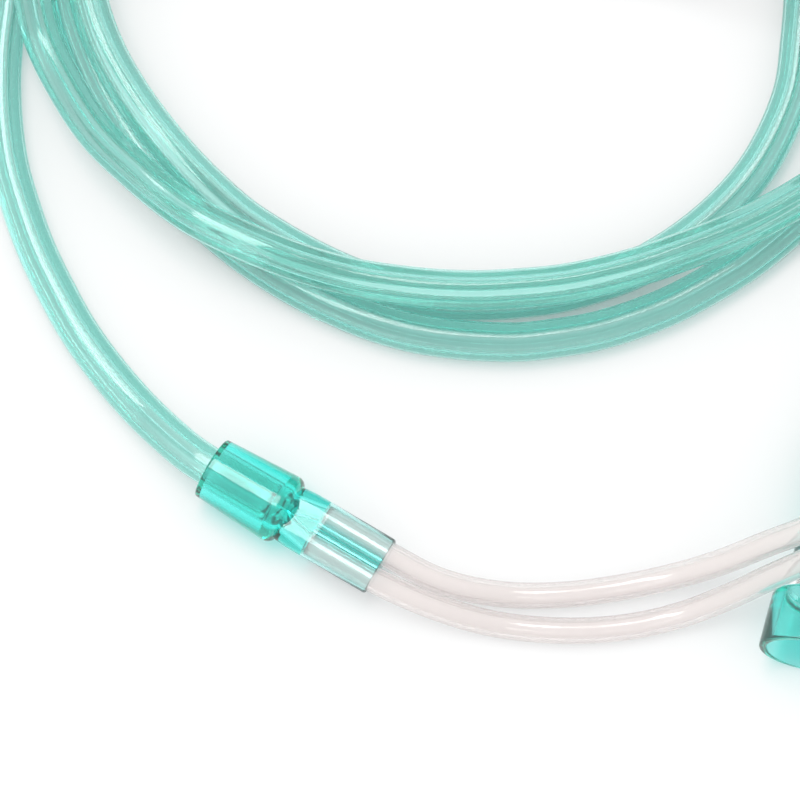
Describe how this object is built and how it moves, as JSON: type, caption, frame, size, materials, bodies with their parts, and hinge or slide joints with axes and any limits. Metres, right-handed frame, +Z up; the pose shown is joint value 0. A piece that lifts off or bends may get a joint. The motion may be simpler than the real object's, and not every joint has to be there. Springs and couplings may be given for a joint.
{
  "type": "nasal oxygen cannula",
  "caption": "Nasal oxygen cannula lying in a loose coil: star-bore supply tube with funnel connector, Y connector, two soft ear tubes, slide adjuster and nosepiece with curved prongs.",
  "frame": {"origin": "On the surface the cannula lies on, under the middle of the box round the Y connector and the nosepiece together.", "axes": "+Z up from the surface; +Y from the Y connector towards the coil; +X from the coil's left side to its right side, seen from above."},
  "size_m": [0.1509, 0.1774, 0.0198],
  "materials": {
    "connector_plastic": "clear turquoise moulded PVC, glossy",
    "supply_tubing": "clear green extruded PVC, glossy",
    "soft_tubing": "clear soft PVC with a faint pink cast, glossy",
    "clear_plastic": "clear soft moulded PVC, satin gloss"
  },
  "bodies": {
    "cannula": {"y_connector": "connector_plastic", "funnel_connector": "connector_plastic", "supply_tube_lead": "supply_tubing", "supply_tube_coil": "supply_tubing", "supply_tube_tail": "supply_tubing", "soft_tube_inner": "soft_tubing", "soft_tube_outer": "soft_tubing", "nosepiece": "clear_plastic"},
    "slide_adjuster": {"slide_adjuster": "clear_plastic"}
  },
  "joints": [
    {"name": "adjuster_slide", "type": "slide", "parent": "cannula", "child": "slide_adjuster", "axis": [0, 1, 0], "range_m": [0, 0.05]}
  ]
}
